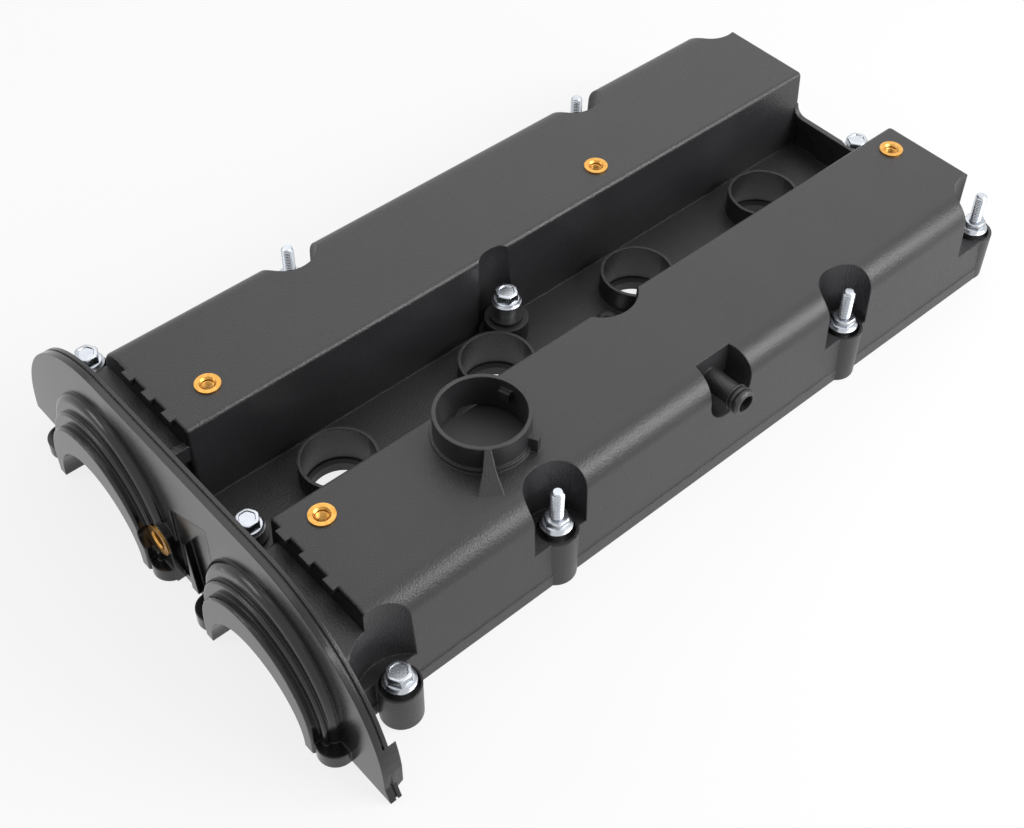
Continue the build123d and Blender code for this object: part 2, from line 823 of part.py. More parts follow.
def baffle_screw_places():
    """The screws' places under the far hump, along its middle."""
    first = -(baffle_post_count - 1) / 2 * baffle_post_pitch
    return [(first + i * baffle_post_pitch, cam_offset) for i in range(baffle_post_count)]


def baffle_plan(notch_x, notch_y, notch_radius):
    """The far baffle's outline, clear of the walls behind the recesses and the notch."""
    centre_y = hump_side_y - shoulder_radius
    centre_z = hump_top - shoulder_radius
    reach = shoulder_radius - wall
    outer = centre_y + sqrt(reach**2 - (baffle_z + baffle_thickness - centre_z) ** 2) - baffle_margin
    inner = hump_inner_y + wall + baffle_margin
    half = hump_rear_x - baffle_end_gap
    plan = Pos(0, (inner + outer) / 2) * Rectangle(2 * half, outer - inner)
    gap = wall + baffle_margin
    for x in (front_recess_x, middle_recess_x):
        plan -= Pos(x, recess_y) * Circle(side_recess_radius + gap)
    plan -= Pos(rear_recess_x, recess_y) * Circle(rear_recess_radius + gap)
    plan -= Pos(notch_x, notch_y) * Circle(notch_radius + gap)
    return plan


def make_baffle(plan, boss_places):
    """A sheet under a hump's roof with a turned-down rim, drain slots and screw holes."""
    baffle = upright(plan, baffle_z, baffle_z + baffle_thickness)
    rim = plan - offset(plan, -baffle_rim_thickness, kind=Kind.ARC)
    baffle += upright(rim, baffle_z - baffle_rim_height, baffle_z + baffle_thickness / 2)
    for i in range(baffle_slot_count):
        x = (i - (baffle_slot_count - 1) / 2) * baffle_post_pitch
        slot = Pos(x, cam_offset + baffle_slot_offset) * SlotOverall(baffle_slot_length, baffle_slot_width)
        baffle -= upright(slot, 0, hump_top)
    for x, y in baffle_screw_places():
        baffle -= post(x, y, screw_radius + screw_clearance, 0, hump_top)
    for x, y in boss_places:
        baffle -= post(x, abs(y), insert_radius + insert_boss_wall + baffle_margin, 0, hump_top)
    return baffle


def make_screw(x, y):
    """A small pan-head screw, driven up through the baffle into its post."""
    head = post(x, y, screw_head_radius, baffle_z - screw_head_height, baffle_z)
    head = chamfer(head.edges().group_by(Axis.Z)[0], screw_head_height / 3)
    return head + post(x, y, screw_radius, baffle_z - screw_head_height / 2, baffle_z + screw_length)


def make_top_insert(x, y):
    """A flanged brass insert in the hump's roof."""
    seat = hump_top
    return turned(
        [
            (insert_bore, seat - insert_length),
            (insert_radius, seat - insert_length),
            (insert_radius, seat),
            (insert_flange_radius, seat),
            (insert_flange_radius, seat + insert_flange_height),
            (insert_bore + insert_flange_height, seat + insert_flange_height),
            (insert_bore, seat),
        ],
        x,
        y,
    )


def make_front_insert():
    """The larger brass insert facing forward between the arches."""
    face = front_insert_flange_height
    section = [
        (front_insert_bore, -front_insert_length),
        (front_insert_radius, -front_insert_length),
        (front_insert_radius, 0),
        (front_insert_flange_radius, 0),
        (front_insert_flange_radius, face),
        (front_insert_bore + face, face),
        (front_insert_bore, 0),
    ]
    seat_x = plate_front_x - front_insert_boss_reach
    return Pos(seat_x, front_insert_y, front_insert_z) * Rot(0, -90, 0) * turned(section, 0, 0)


def hexagon(x, y, z0, z1):
    """A hexagon bar with its top corners rounded off."""
    bar = upright(Pos(x, y) * RegularPolygon(hex_corner, 6), z0, z1)
    cone = turned(
        [
            (0, z0),
            (hex_corner, z0),
            (hex_corner, z1 - (hex_corner - hex_flat_half) * tan(radians(30))),
            (hex_flat_half * 0.96, z1),
            (0, z1),
        ],
        x,
        y,
    )
    return bar & cone


def flange_and_shank(x, y, seat, shank):
    """The part that bolts and stud bolts share: the flange and the thread below it."""
    return turned(
        [
            (0, seat - shank),
            (thread_radius - tip_chamfer, seat - shank),
            (thread_radius, seat - shank + tip_chamfer),
            (thread_radius, seat),
            (flange_radius, seat),
            (flange_radius, seat + flange_thickness / 2),
            (hex_corner, seat + 2 * flange_thickness),
            (0, seat + 2 * flange_thickness),
        ],
        x,
        y,
    )


def make_bolt(x, y, seat, shank):
    """A flanged hexagon bolt."""
    head = hexagon(x, y, seat + flange_thickness, seat + bolt_head_height)
    return flange_and_shank(x, y, seat, shank) + head


def make_stud_bolt(x, y, seat, shank):
    """A flanged hexagon with a thread above it as well as below."""
    stud = flange_and_shank(x, y, seat, shank)
    stud += hexagon(x, y, seat + flange_thickness, seat + stud_hex_height)
    tip = seat + stud_above_flange
    stud += turned(
        [
            (0, seat),
            (thread_radius, seat),
            (thread_radius, tip - tip_chamfer),
            (thread_radius - tip_chamfer, tip),
            (0, tip),
        ],
        x,
        y,
    )
    return stud


def make_sleeve(x, y, rim, seat):
    """The steel tube that stops the bolt crushing its grommet, as long as its boss is high."""
    length = rim - joint_z
    bar = post(x, y, sleeve_radius, seat - length, seat)
    return bar - post(x, y, thread_radius + sleeve_clearance, 0, seat + 1)


def make_grommet(x, y, rim):
    """The rubber bush in a boss, with a bead on the rim."""
    bore = sleeve_radius + grommet_grip
    return turned(
        [
            (bore, rim - grommet_tail),
            (grommet_radius, rim - grommet_tail),
            (grommet_radius, rim),
            (grommet_bead_radius, rim),
            (grommet_bead_radius, rim + grommet_bead_height),
            (bore, rim + grommet_bead_height),
        ],
        x,
        y,
    )


parts = {
    "cover": make_cover(),
    "perimeter_gasket": make_gasket(),
}
for i, x in enumerate(tube_xs):
    parts[f"plug_tube_seal_{i + 1}"] = make_seal(x)

far_bosses = [(x, y) for x, y in top_inserts.values() if y > 0]
near_bosses = [(x, y) for x, y in top_inserts.values() if y < 0]
far_plan = baffle_plan(middle_bolt_x, middle_bolt_y, middle_recess_radius)
near_plan = baffle_plan(inner_notch_x, -inner_notch_y, inner_notch_radius)
pocket_y = -nozzle_pocket_y - wall - baffle_margin
pocket_spread = tan(radians(nozzle_pocket_draft)) * (cover_half_width - pocket_y)
pocket_width = 2 * (nozzle_pocket_half + pocket_spread + wall)
near_plan -= Pos(nozzle_x, pocket_y + cover_half_width / 2) * Rectangle(pocket_width, cover_half_width)
parts["far_oil_baffle"] = make_baffle(far_plan, far_bosses)
parts["near_oil_baffle"] = mirrored(make_baffle(near_plan, near_bosses))
parts["baffle_screws"] = Compound(
    children=[make_screw(x, side * y) for side in (-1, 1) for x, y in baffle_screw_places()]
)

for name, (x, y) in top_inserts.items():
    parts[f"insert_{name}"] = make_top_insert(x, y)
parts["insert_timing_end"] = make_front_insert()

places = {**outer_places, **valley_places}
long_names = ["far_corner", "far_rear", *valley_places]
stud_names = [name for name in outer_places if name not in ("near_corner", *long_names)]
parts["stud_bolts"] = Compound(
    children=[make_stud_bolt(x, y, seat, shank) for x, y, _, _, seat, shank in map(places.get, stud_names)]
)
parts["long_flange_bolts"] = Compound(
    children=[make_bolt(x, y, seat, shank) for x, y, _, _, seat, shank in map(places.get, long_names)]
)
x, y, _, _, seat, shank = places["near_corner"]
parts["short_flange_bolt"] = make_bolt(x, y, seat, shank)

for name, (x, y, _, top, seat, _) in places.items():
    rim = top - grommet_recess if name in outer_places else top
    parts[f"sleeve_{name}"] = make_sleeve(x, y, rim, seat)
    parts[f"grommet_{name}"] = make_grommet(x, y, rim)

os.makedirs("parts", exist_ok=True)
for name, solid in parts.items():
    export_step(solid, f"parts/{name}.step")
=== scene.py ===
"""Looks of the engine valve cover: finishes for all its parts, cut threads and dished heads
for its zinc-plated fasteners, cut threads in its brass inserts, and a copy of the cover
whose ear ribs are cut back to the front plate's round edge."""

import json
from math import cos, pi, radians, sin

import bmesh
import bpy
from mathutils import Matrix, Vector


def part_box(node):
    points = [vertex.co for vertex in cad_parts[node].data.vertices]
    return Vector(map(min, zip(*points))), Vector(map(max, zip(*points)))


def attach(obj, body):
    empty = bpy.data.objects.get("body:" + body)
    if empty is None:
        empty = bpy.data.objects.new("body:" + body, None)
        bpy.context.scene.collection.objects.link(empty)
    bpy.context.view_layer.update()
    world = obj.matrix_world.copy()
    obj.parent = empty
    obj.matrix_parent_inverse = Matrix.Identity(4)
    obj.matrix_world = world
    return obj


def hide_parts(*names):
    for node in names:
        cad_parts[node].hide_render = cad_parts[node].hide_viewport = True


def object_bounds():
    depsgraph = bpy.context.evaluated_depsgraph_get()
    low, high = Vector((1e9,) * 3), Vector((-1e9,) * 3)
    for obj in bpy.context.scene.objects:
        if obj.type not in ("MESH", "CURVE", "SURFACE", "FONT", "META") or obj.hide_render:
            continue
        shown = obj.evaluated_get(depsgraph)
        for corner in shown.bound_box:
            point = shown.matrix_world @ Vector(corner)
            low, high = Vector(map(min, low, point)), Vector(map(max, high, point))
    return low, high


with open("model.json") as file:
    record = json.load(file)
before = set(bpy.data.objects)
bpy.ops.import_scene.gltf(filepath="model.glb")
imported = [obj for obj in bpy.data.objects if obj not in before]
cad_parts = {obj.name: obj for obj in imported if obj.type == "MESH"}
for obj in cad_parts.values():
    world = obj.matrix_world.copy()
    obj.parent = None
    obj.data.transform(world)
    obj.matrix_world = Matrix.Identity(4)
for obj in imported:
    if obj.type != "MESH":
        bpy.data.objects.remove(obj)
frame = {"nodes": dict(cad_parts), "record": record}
cad_low, cad_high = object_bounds()

# Lengths are in millimetres where no other unit is named, and MM turns them into metres
MM = 0.001

# The camera, which looks from the timing end and the filler side
PHOTO_WIDTH = 1024
PHOTO_HEIGHT = 828
CAMERA_AZIMUTH = -42.976
CAMERA_ELEVATION = 46.734
CAMERA_ROLL = 1.611
CAMERA_FOCUS_PIXELS = 1574.8
CAMERA_CENTRE_PIXELS = (531.03, 369.87)
CAMERA_DISTANCE = 759.649 * MM
CAMERA_TARGET = Vector((-21.125, 2.735, 0)) * MM
SENSOR_WIDTH = 36

# The studio, in metres and watts
NEAREST_SEEN = 0.01
FURTHEST_SEEN = 50
WHITE = (1, 1, 1)
WHITE_STRENGTH = 1.0
WORLD_STRENGTH = 0.32
FLOOR_HALF = 6.0
FLOOR_DROP = 0.2 * MM
FLOOR_COLOUR = (0.86, 0.86, 0.86)
FLOOR_GLOW = 0.82
SOFTBOX_AIM = Vector((0, 0, 0.03))

# Each softbox: its name, the direction it stands in, its distance, width, height and watts
SOFTBOXES = (
    ("overhead_softbox", (0.25, 0.30, 1.0), 1.1, 1.2, 1.0, 3.0),
    ("back_softbox", (0.62, 0.62, 0.55), 1.5, 1.4, 0.9, 2.0),
    ("side_softbox", (0.467, -0.728, 0.50), 1.1, 0.8, 0.7, 13),
    ("front_softbox", (-0.72, 0.55, 0.47), 1.2, 0.5, 0.4, 2),
)

# The moulded nylon, which turns from grained to polished between two places along x
POLISH_STARTS = -205
POLISH_FULL = -212
POLISH_SMOOTHING = 0.19
POLISH_GRAIN_LOSS = 0.92
NYLON_DARK = (0.018, 0.017, 0.0185)
NYLON_PALE = (0.026, 0.0245, 0.027)
NYLON_POLISHED = (0.009, 0.009, 0.0095)
NYLON_ROUGHNESS = 0.36
NYLON_CLOUD_ROUGHNESS = 0.10
NYLON_FIBRE_ROUGHNESS = 0.07
NYLON_FIBRE_PALENESS = 0.5
NYLON_SHINE = 0.5

# The other finishes
BAFFLE_DARK = (0.045, 0.045, 0.048)
BAFFLE_PALE = (0.07, 0.07, 0.073)
BAFFLE_ROUGHNESS = 0.42
BAFFLE_CLOUD_ROUGHNESS = 0.14
SEAL_DARK = (0.012, 0.012, 0.012)
SEAL_DUSTY = (0.03, 0.03, 0.03)
GROMMET_DARK = (0.010, 0.010, 0.010)
GROMMET_DUSTY = (0.022, 0.022, 0.022)
BLOOM_ROUGHNESS = 0.12
ZINC_PALE = (0.56, 0.58, 0.61)
ZINC_BLUISH = (0.43, 0.46, 0.51)
ZINC_DULL = (0.50, 0.51, 0.50)
ZINC_PATCH_ROUGHNESS = 0.12
ZINC_WEAR_ROUGHNESS = 0.10
BRASS_BRIGHT = (0.68, 0.37, 0.10)
BRASS_DARK = (0.50, 0.25, 0.05)
BRASS_ROUGHNESS = 0.24
BRASS_PATCH_ROUGHNESS = 0.16

# Noise runs from 0 to 1 about this middle, and shader bevels take this many samples
NOISE_MIDDLE = 0.5
BEVEL_SAMPLES = 4

# The cover's two ear ribs, upright behind the ends of the front plate; the plate's edge is
# followed up to RIB_EDGE_TOP
RIB_FRONT = -212.1
RIB_REAR = -204.9
RIB_INNER = 126.0
RIB_OUTER = 129.0
RIB_EDGE_TOP = 30.0
RIB_SLACK = 0.06
RIB_ON_PLANE = 0.01
RIB_CUT_SLOPE = 0.2
FACING_FORWARD = -0.99
COVER_MERGE = 0.001

# M6 threads, wound as V-shaped ridges round a core
THREAD_RADIUS = 3.0
THREAD_CORE = 2.45
THREAD_PITCH = 1.0
THREAD_HALF = THREAD_PITCH * 0.46
THREAD_BITE = 0.15
THREAD_STEPS = 18
TIP_CHAMFER = 0.5

# Flanges: each point of the rounded rim is measured outwards from the flange's radius and
# upwards from the seat
FLANGE_RADIUS = 7.15
FLANGE_GAP = 0.02
FLANGE_RIM = ((-0.35, FLANGE_GAP), (-0.08, 0.12), (0.0, 0.35), (-0.08, 0.6), (-0.35, 0.8))
FLANGE_RISE = 2.4
CONE_EDGE_OUT = 0.25
CONE_EDGE_IN = 0.45
CONE_EDGE_DROP = 0.3

# Hexagons and the dish in a bolt's head; heights are above the seat
HEX_SIDES = 6
HEX_FLATS = 10.0
HEX_CORNER = HEX_FLATS / 2 / cos(pi / HEX_SIDES)
HEX_FOOT = 0.8
HEX_CORNER_EASE = 1.15
HEX_EDGE = 0.55
BOLT_HEAD_TOP = 6.6
BOLT_DISH_INSET = 0.9
BOLT_DISH_WALL = 0.35
BOLT_DISH_DEPTH = 0.5
STUD_HEX_TOP = 5.2
STUD_ABOVE = 21.0
SHANK_OVERLAP = 0.5

# How far each fastener's shank reaches below its seat
STUD_SHANK = 27.8
STUD_SHANKS = {
    name: STUD_SHANK for name in ("near_front", "near_middle", "near_rear", "far_front", "far_middle")
}
LONG_BOLT_SHANKS = {
    "far_corner": 41.5,
    "far_rear": 25.5,
    "valley_front": 25.5,
    "valley_middle": 34.0,
    "valley_rear": 25.5,
}
SHORT_BOLT_SHANKS = {"near_corner": 22.0}

# The brass inserts in the humps' roofs
TOP_INSERTS = ("insert_far_front", "insert_far_rear", "insert_near_front", "insert_near_rear")
INSERT_BORE = 3.0
INSERT_CREST = 2.5
INSERT_THREAD_DROP = 0.9

# New pieces
ROUND_STEPS = 48
PIECE_MERGE = 0.005
SHARP_ANGLE = radians(35)


# Shader maths

class Signal:
    """A shader output that takes Python's operators; each operator adds its Math node."""

    def __init__(self, graph, socket):
        self.graph = graph
        self.socket = socket

    def _maths(self, operation, first, second):
        return self.graph.node("Math", {"operation": operation}, {0: first, 1: second})

    def __add__(self, other):
        return self._maths("ADD", self, other)

    def __radd__(self, other):
        return self._maths("ADD", other, self)

    def __sub__(self, other):
        return self._maths("SUBTRACT", self, other)

    def __rsub__(self, other):
        return self._maths("SUBTRACT", other, self)

    def __mul__(self, other):
        return self._maths("MULTIPLY", self, other)

    def __rmul__(self, other):
        return self._maths("MULTIPLY", other, self)

    def greater_of(self, other):
        return self._maths("MAXIMUM", self, other)

    def beside(self, name):
        """Another output of the same node."""
        return Signal(self.graph, self.socket.node.outputs[name])


class Graph:
    """The nodes of one material, or of the world."""

    def __init__(self, owner):
        owner.use_nodes = True
        self.tree = owner.node_tree
        self.tree.nodes.clear()

    def feed(self, socket, value):
        """Links a signal to a socket, or writes a plain value there."""
        if isinstance(value, Signal):
            self.tree.links.new(value.socket, socket)
        elif socket.type == "RGBA":
            socket.default_value = (*value, 1)
        else:
            socket.default_value = value

    def node(self, kind, settings=None, sockets=None, output=0):
        """Adds a node: its settings first, then its sockets' values or links, by name or number."""
        node = self.tree.nodes.new("ShaderNode" + kind)
        for key, value in (settings or {}).items():
            setattr(node, key, value)
        for key, value in (sockets or {}).items():
            self.feed(node.inputs[key], value)
        if output is None:
            return None
        return Signal(self, node.outputs[output])

    def end(self, kind, shader):
        """Leads a shader to the output node."""
        self.node(kind, sockets={"Surface": shader}, output=None)


class Finish(Graph):
    """One material and the nodes that make it."""

    def __init__(self, name):
        self.material = bpy.data.materials.new(name)
        super().__init__(self.material)
        self.place = self.node("TexCoord", output="Object")

    def noise(self, size, detail=2.0, roughness=0.5):
        """Noise whose largest marks are about size millimetres across, from 0 to 1."""
        sockets = {
            "Vector": self.place, "Scale": 1 / (size * MM), "Detail": detail, "Roughness": roughness,
        }
        return self.node("TexNoise", sockets=sockets)

    def ramp(self, signal, low, high):
        """Carries signal from the range low..high to 0..1, clamped."""
        return self.node(
            "MapRange", {"clamp": True}, {"Value": signal, "From Min": low, "From Max": high},
        )

    def mix(self, factor, first, second):
        """A colour between two others, which a Mix node takes at its sockets 6 and 7."""
        return self.node("Mix", {"data_type": "RGBA"}, {0: factor, 6: first, 7: second}, output=2)

    def shade(self, sockets, bump, bump_depth, soft_edge=0.0):
        """Ends the material with its surface shader."""
        relief = {"Height": bump, "Distance": bump_depth * MM, "Strength": 1.0}
        if soft_edge:
            relief["Normal"] = self.node("Bevel", {"samples": BEVEL_SAMPLES}, {"Radius": soft_edge * MM})
        normal = self.node("Bump", sockets=relief)
        surface = self.node("BsdfPrincipled", sockets={**sockets, "Normal": normal})
        self.end("OutputMaterial", surface)
        return self.material


# Finishes

def moulded_nylon():
    """Satin black glass-filled nylon: fine grain, cloudy sheen, glossier towards the timing end."""
    look = Finish("moulded_nylon")
    grain = look.noise(size=0.9, detail=3.0, roughness=0.6)
    clouds = look.noise(size=38.0, detail=3.0)
    fibres = look.noise(size=1.6)
    along = look.node("SeparateXYZ", sockets={"Vector": look.place})
    polished = look.ramp(along, low=POLISH_STARTS * MM, high=POLISH_FULL * MM)
    rough = NYLON_ROUGHNESS + (clouds - NOISE_MIDDLE) * NYLON_CLOUD_ROUGHNESS
    rough = rough + (fibres - NOISE_MIDDLE) * NYLON_FIBRE_ROUGHNESS
    rough = rough - polished * POLISH_SMOOTHING
    paleness = clouds + (fibres - NOISE_MIDDLE) * NYLON_FIBRE_PALENESS
    colour = look.mix(look.ramp(paleness, low=0.25, high=0.8), NYLON_DARK, NYLON_PALE)
    colour = look.mix(polished, colour, NYLON_POLISHED)
    height = grain * (1 - polished * POLISH_GRAIN_LOSS)
    sockets = {"Base Color": colour, "Roughness": rough, "Specular IOR Level": NYLON_SHINE}
    return look.shade(sockets, bump=height, bump_depth=0.26, soft_edge=0.9)


def baffle_nylon():
    """The baffles' plainer grey-black plastic."""
    look = Finish("baffle_nylon")
    grain = look.noise(size=0.8, detail=3.0)
    clouds = look.noise(size=22.0)
    colour = look.mix(clouds, BAFFLE_DARK, BAFFLE_PALE)
    rough = BAFFLE_ROUGHNESS + clouds * BAFFLE_CLOUD_ROUGHNESS
    return look.shade({"Base Color": colour, "Roughness": rough}, bump=grain, bump_depth=0.03)


def rubber(name, dark, dusty, roughness):
    """Black rubber with a dusty bloom."""
    look = Finish(name)
    grain = look.noise(size=0.35, detail=3.0, roughness=0.65)
    bloom = look.ramp(look.noise(size=6.0, detail=4.0), low=0.4, high=0.75)
    colour = look.mix(bloom, dark, dusty)
    rough = roughness + bloom * BLOOM_ROUGHNESS
    return look.shade({"Base Color": colour, "Roughness": rough}, bump=grain, bump_depth=0.03)


def zinc_plate(name, roughness, tint):
    """Bright zinc plate over steel, with a faint drift of tint and fine wear."""
    look = Finish(name)
    patches = look.noise(size=3.2, detail=3.0)
    wear = look.ramp(look.noise(size=0.7, detail=4.0, roughness=0.7), low=0.35, high=0.8)
    colour = look.mix(patches, ZINC_PALE, tint)
    rough = roughness + patches * ZINC_PATCH_ROUGHNESS + wear * ZINC_WEAR_ROUGHNESS
    sockets = {"Base Color": colour, "Roughness": rough, "Metallic": 1.0}
    return look.shade(sockets, bump=wear, bump_depth=0.012)


def turned_brass():
    """Turned brass with fine lathe marks and a few darker spots."""
    look = Finish("turned_brass")
    patches = look.noise(size=2.4, detail=3.0)
    marks = look.noise(size=0.3)
    colour = look.mix(look.ramp(patches, low=0.35, high=0.75), BRASS_BRIGHT, BRASS_DARK)
    rough = BRASS_ROUGHNESS + patches * BRASS_PATCH_ROUGHNESS
    sockets = {"Base Color": colour, "Roughness": rough, "Metallic": 1.0}
    return look.shade(sockets, bump=marks, bump_depth=0.01)


nylon = moulded_nylon()
baffle = baffle_nylon()
seal_rubber = rubber("seal_rubber", SEAL_DARK, SEAL_DUSTY, roughness=0.5)
grommet_rubber = rubber("grommet_rubber", GROMMET_DARK, GROMMET_DUSTY, roughness=0.42)
zinc = zinc_plate("zinc_plate", roughness=0.17, tint=ZINC_BLUISH)
sleeve_zinc = zinc_plate("sleeve_zinc", roughness=0.26, tint=ZINC_DULL)
brass = turned_brass()

FINISHES = {
    "cover_plastic": nylon,
    "baffle_plastic": baffle,
    "seal_rubber": seal_rubber,
    "grommet_rubber": grommet_rubber,
    "zinc_steel": zinc,
    "brass": brass,
}

for subpart in frame["record"]["subparts"]:
    node = frame["nodes"][subpart["node"]]
    finish = FINISHES[subpart["material_slot"]]
    if subpart["node"].startswith("sleeve"):
        finish = sleeve_zinc
    node.data.materials.clear()
    node.data.materials.append(finish)


# New pieces

def add_piece(name, mesh, material):
    """Puts a new mesh into the scene as a piece that rides on the cover."""
    mesh.materials.append(material)
    piece = bpy.data.objects.new(name, mesh)
    bpy.context.scene.collection.objects.link(piece)
    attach(piece, "root")
    return piece


def smooth_piece(name, bm, material):
    """Turns a bmesh, made in millimetres, into a piece that is smooth but for its sharp edges."""
    bmesh.ops.scale(bm, vec=(MM, MM, MM), verts=bm.verts)
    mesh = bpy.data.meshes.new(name)
    bm.to_mesh(mesh)
    bm.free()
    for face in mesh.polygons:
        face.use_smooth = True
    mesh.set_sharp_from_angle(angle=SHARP_ANGLE)
    return add_piece(name, mesh, material)


# The cover, its ear ribs cut back to the front plate's round edge

def on_ear_rib(vert, side):
    """Whether a vertex of the cover lies on the ear rib of that side."""
    x, y, _ = vert.co / MM
    along = RIB_FRONT - RIB_SLACK < x < RIB_REAR + RIB_SLACK
    return along and RIB_INNER - RIB_SLACK < side * y < RIB_OUTER + RIB_SLACK


def ear_rib_faces(bm, side):
    """The cover's faces that lie wholly on the ear rib of that side."""
    return [face for face in bm.faces if all(on_ear_rib(vert, side) for vert in face.verts)]


def plate_edge_points(bm, side):
    """The front plate's round edge beside the rib, from its lowest point to its highest."""
    found = {}
    for face in ear_rib_faces(bm, side):
        if face.normal.x > FACING_FORWARD:
            continue
        for vert in face.verts:
            if vert.co.z < RIB_EDGE_TOP * MM:
                found[round(vert.co.z / MM, 2)] = vert.co.copy()
    return [found[height] for height in sorted(found)]


def cut_outside(bm, side, first, second):
    """Takes away what stands outside the plane through two neighbouring points of the edge."""
    rise = second - first
    outward = Vector((0, side * rise.z, -side * rise.y)).normalized()
    faces = ear_rib_faces(bm, side)
    edges = list({edge for face in faces for edge in face.edges})
    verts = list({vert for face in faces for vert in face.verts})
    bmesh.ops.bisect_plane(
        bm, geom=verts + edges + faces, dist=RIB_ON_PLANE * MM,
        plane_co=first, plane_no=outward, clear_outer=True,
    )


def close_cut(bm, side, shading):
    """Closes the cut rib with flat faces that look outwards."""
    rim = [
        edge for edge in bm.edges
        if edge.is_boundary and all(on_ear_rib(vert, side) for vert in edge.verts)
    ]
    outward = Vector((0, side, RIB_CUT_SLOPE)).normalized()
    made = bmesh.ops.triangle_fill(bm, edges=rim, normal=outward, use_beauty=True)
    for face in made["geom"]:
        if not isinstance(face, bmesh.types.BMFace):
            continue
        face.normal_update()
        if face.normal.dot(outward) < 0:
            face.normal_flip()
        for loop in face.loops:
            loop[shading] = face.normal


def trim_ear_rib(bm, side, shading):
    """Cuts off what stands outside the plate's round edge and closes the cut."""
    points = plate_edge_points(bm, side)
    for first, second in zip(points, points[1:]):
        cut_outside(bm, side, first, second)
    loose = [edge for edge in bm.edges if not edge.link_faces]
    bmesh.ops.delete(bm, geom=loose, context="EDGES")
    close_cut(bm, side, shading)


def trimmed_cover():
    """The cover in place of its node, the same in all but the two ribs, with its shading kept."""
    source = frame["nodes"]["cover"].data
    bm = bmesh.new()
    bm.from_mesh(source)
    shading = bm.loops.layers.float_vector.new("shading")
    for face, polygon in zip(bm.faces, source.polygons):
        for loop, index in zip(face.loops, polygon.loop_indices):
            loop[shading] = source.corner_normals[index].vector
    bmesh.ops.remove_doubles(bm, verts=bm.verts, dist=COVER_MERGE * MM)
    for side in (-1, 1):
        trim_ear_rib(bm, side, shading)
    mesh = bpy.data.meshes.new("trimmed_cover")
    bm.to_mesh(mesh)
    bm.free()
    mesh.normals_split_custom_set([corner.vector for corner in mesh.attributes["shading"].data])
    mesh.attributes.remove(mesh.attributes["shading"])
    piece = add_piece("trimmed_cover", mesh, nylon)
    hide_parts("cover")


trimmed_cover()


# Fasteners and inserts with cut threads

def turn(bm, centre, section, closed=False):
    """Spins a (radius, height) section into a round body about an upright axis."""
    cx, cy = centre
    verts = [bm.verts.new((cx + radius, cy, height)) for radius, height in section]
    edges = [bm.edges.new(pair) for pair in zip(verts, verts[1:])]
    if closed:
        edges.append(bm.edges.new((verts[-1], verts[0])))
    bmesh.ops.spin(
        bm, geom=verts + edges, cent=(cx, cy, 0), axis=(0, 0, 1),
        angle=2 * pi, steps=ROUND_STEPS, use_merge=True,
    )


def thread(bm, centre, crest, core, low, high, inward=False):
    """Winds a V-shaped ridge up a shank, or up a bore when inward."""
    cx, cy = centre
    foot = core + (THREAD_BITE if inward else -THREAD_BITE)
    profile = [(foot, -THREAD_HALF), (crest, 0.0), (foot, THREAD_HALF)]
    middle = low + THREAD_HALF
    verts = [bm.verts.new((cx + radius, cy, middle + height)) for radius, height in profile]
    edges = [bm.edges.new((verts[i], verts[(i + 1) % 3])) for i in range(3)]
    turns = (high - low - 2 * THREAD_HALF) / THREAD_PITCH
    steps = max(int(turns * THREAD_STEPS), 1)
    made = bmesh.ops.spin(
        bm, geom=verts + edges, cent=(cx, cy, 0), axis=(0, 0, 1),
        dvec=(0, 0, THREAD_PITCH / THREAD_STEPS), angle=2 * pi * steps / THREAD_STEPS, steps=steps,
    )
    last = [item for item in made["geom_last"] if isinstance(item, bmesh.types.BMEdge)]
    bmesh.ops.contextual_create(bm, geom=edges)
    bmesh.ops.contextual_create(bm, geom=last)


def highest_face(bm):
    """The uppermost face, and the largest of those where several lie as high."""
    return max(bm.faces, key=lambda face: (round(face.calc_center_median().z, 4), face.calc_area()))


def hex_bar(bm, centre, low, high, dish):
    """A hexagon with eased corners, its top dished on a bolt and plain on a stud bolt."""
    middle = Matrix.Translation((*centre, (low + high) / 2))
    bmesh.ops.create_cone(
        bm, cap_ends=True, segments=HEX_SIDES, radius1=HEX_CORNER, radius2=HEX_CORNER, depth=high - low,
        matrix=middle @ Matrix.Rotation(pi / HEX_SIDES, 4, "Z"),
    )
    bmesh.ops.bevel(
        bm, geom=list(highest_face(bm).verts), offset=HEX_CORNER_EASE,
        affect="VERTICES", segments=1, profile=0.5, material=-1,
    )
    bmesh.ops.bevel(
        bm, geom=list(highest_face(bm).edges), offset=HEX_EDGE,
        affect="EDGES", segments=2, profile=0.5, material=-1,
    )
    if dish:
        top = highest_face(bm)
        bmesh.ops.inset_region(bm, faces=[top], thickness=BOLT_DISH_INSET)
        bmesh.ops.inset_region(bm, faces=[top], thickness=BOLT_DISH_WALL, depth=-BOLT_DISH_DEPTH)


def collar_section(seat):
    """The flange's section: a flat washer face, a rounded rim and a cone up to the hexagon."""
    return [
        (THREAD_CORE, seat + FLANGE_GAP),
        *((FLANGE_RADIUS + outwards, seat + height) for outwards, height in FLANGE_RIM),
        (HEX_CORNER + CONE_EDGE_OUT, seat + FLANGE_RISE - CONE_EDGE_DROP),
        (HEX_CORNER - CONE_EDGE_IN, seat + FLANGE_RISE),
        (THREAD_CORE, seat + FLANGE_RISE),
    ]


